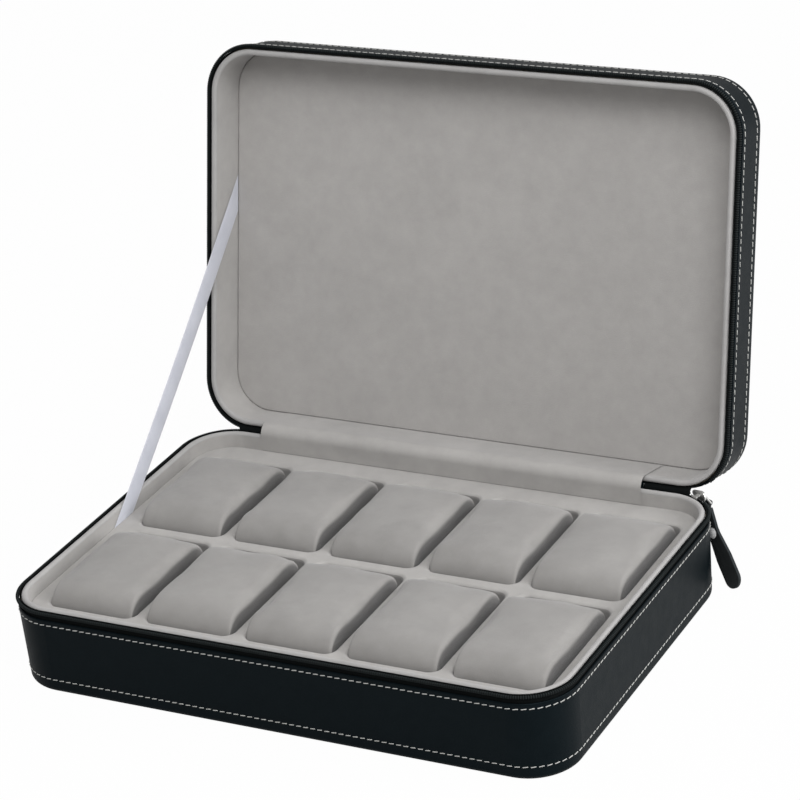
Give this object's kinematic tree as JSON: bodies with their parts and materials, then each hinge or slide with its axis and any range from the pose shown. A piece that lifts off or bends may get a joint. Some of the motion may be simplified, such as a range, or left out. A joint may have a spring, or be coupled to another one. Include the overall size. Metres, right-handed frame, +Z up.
{
  "type": "watch travel case",
  "caption": "Zip-round leather travel case for watches with a velvet tray, loose pillows and a lid held open by a ribbon",
  "frame": {"origin": "centre of the underside, on the floor plane", "axes": "+X is the right side seen from the front, -Y is the front, where the case opens, +Z is up"},
  "size_m": [0.3549, 0.3239, 0.2799],
  "materials": {
    "leather": "smooth black coated leather, cream stitches",
    "board": "grey-brown stiffening board",
    "zip_cloth": "woven black tape",
    "zip_coil": "black nylon coil",
    "zip_metal": "grey plated zinc",
    "rivet": "bright nickel",
    "velvet": "light warm grey velvet",
    "velvet_dark": "light grey velvet, darker in the shade",
    "pillow_velvet": "light grey velvet over wadding",
    "ribbon": "pale lavender grey satin",
    "foam": "soft foam"
  },
  "bodies": {
    "base": {"base_board": "board", "base_side_leather": "leather", "base_bottom_leather": "leather", "base_zip_tape": "zip_cloth", "base_zip_coil": "zip_coil", "base_lining": "velvet", "tray_floor": "velvet_dark", "tray_grid": "velvet", "hinge_strip": "leather", "hinge_flap": "velvet", "ribbon_stay": "ribbon", "zipped_chain": "zip_coil", "zip_end_box": "zip_metal"},
    "lid": {"lid_board": "board", "lid_side_leather": "leather", "lid_top_leather": "leather", "lid_zip_tape": "zip_cloth", "lid_zip_coil": "zip_coil", "lid_lining": "velvet", "lid_panel": "velvet_dark", "lid_panel_card": "board"},
    "slider": {"slider_body": "zip_metal", "slider_eye": "zip_metal"},
    "link": {"pull_link": "zip_metal"},
    "pull": {"pull_leather": "leather", "pull_rivet": "rivet"},
    "pillow_1": {"pillow_cover_1": "pillow_velvet", "pillow_core_1": "foam"},
    "pillow_2": {"pillow_cover_2": "pillow_velvet", "pillow_core_2": "foam"},
    "pillow_3": {"pillow_cover_3": "pillow_velvet", "pillow_core_3": "foam"},
    "pillow_4": {"pillow_cover_4": "pillow_velvet", "pillow_core_4": "foam"},
    "pillow_5": {"pillow_cover_5": "pillow_velvet", "pillow_core_5": "foam"},
    "pillow_6": {"pillow_cover_6": "pillow_velvet", "pillow_core_6": "foam"},
    "pillow_7": {"pillow_cover_7": "pillow_velvet", "pillow_core_7": "foam"},
    "pillow_8": {"pillow_cover_8": "pillow_velvet", "pillow_core_8": "foam"},
    "pillow_9": {"pillow_cover_9": "pillow_velvet", "pillow_core_9": "foam"},
    "pillow_10": {"pillow_cover_10": "pillow_velvet", "pillow_core_10": "foam"}
  },
  "joints": [
    {"name": "lid_hinge", "type": "hinge", "parent": "base", "child": "lid", "pos_m": [0, 0.11665, 0.0524], "axis": [-1, 0, 0], "range_deg": [-103.7, 0], "deforming": ["ribbon_stay", "hinge_flap", "hinge_strip"]},
    {"name": "slider_run", "type": "hinge", "parent": "base", "child": "slider", "pos_m": [0.1405, 0.0875, 0.0524], "axis": [0, 0, 1], "range_deg": [0, 6]},
    {"name": "link_swing", "type": "hinge", "parent": "slider", "child": "link", "pos_m": [0.1558, 0.11628, 0.0524], "axis": [0.8829, -0.4695, 0], "range_deg": [0, 30]},
    {"name": "pull_swing", "type": "hinge", "parent": "link", "child": "pull", "pos_m": [0.15806, 0.12053, 0.04527], "axis": [0.8829, -0.4695, 0], "range_deg": [-4, 30]},
    {"name": "pillow_1_lift", "type": "slide", "parent": "base", "child": "pillow_1", "axis": [0, 0, 1], "range_m": [0, 0.07]},
    {"name": "pillow_2_lift", "type": "slide", "parent": "base", "child": "pillow_2", "axis": [0, 0, 1], "range_m": [0, 0.07]},
    {"name": "pillow_3_lift", "type": "slide", "parent": "base", "child": "pillow_3", "axis": [0, 0, 1], "range_m": [0, 0.07]},
    {"name": "pillow_4_lift", "type": "slide", "parent": "base", "child": "pillow_4", "axis": [0, 0, 1], "range_m": [0, 0.07]},
    {"name": "pillow_5_lift", "type": "slide", "parent": "base", "child": "pillow_5", "axis": [0, 0, 1], "range_m": [0, 0.07]},
    {"name": "pillow_6_lift", "type": "slide", "parent": "base", "child": "pillow_6", "axis": [0, 0, 1], "range_m": [0, 0.07]},
    {"name": "pillow_7_lift", "type": "slide", "parent": "base", "child": "pillow_7", "axis": [0, 0, 1], "range_m": [0, 0.07]},
    {"name": "pillow_8_lift", "type": "slide", "parent": "base", "child": "pillow_8", "axis": [0, 0, 1], "range_m": [0, 0.07]},
    {"name": "pillow_9_lift", "type": "slide", "parent": "base", "child": "pillow_9", "axis": [0, 0, 1], "range_m": [0, 0.07]},
    {"name": "pillow_10_lift", "type": "slide", "parent": "base", "child": "pillow_10", "axis": [0, 0, 1], "range_m": [0, 0.07]}
  ]
}
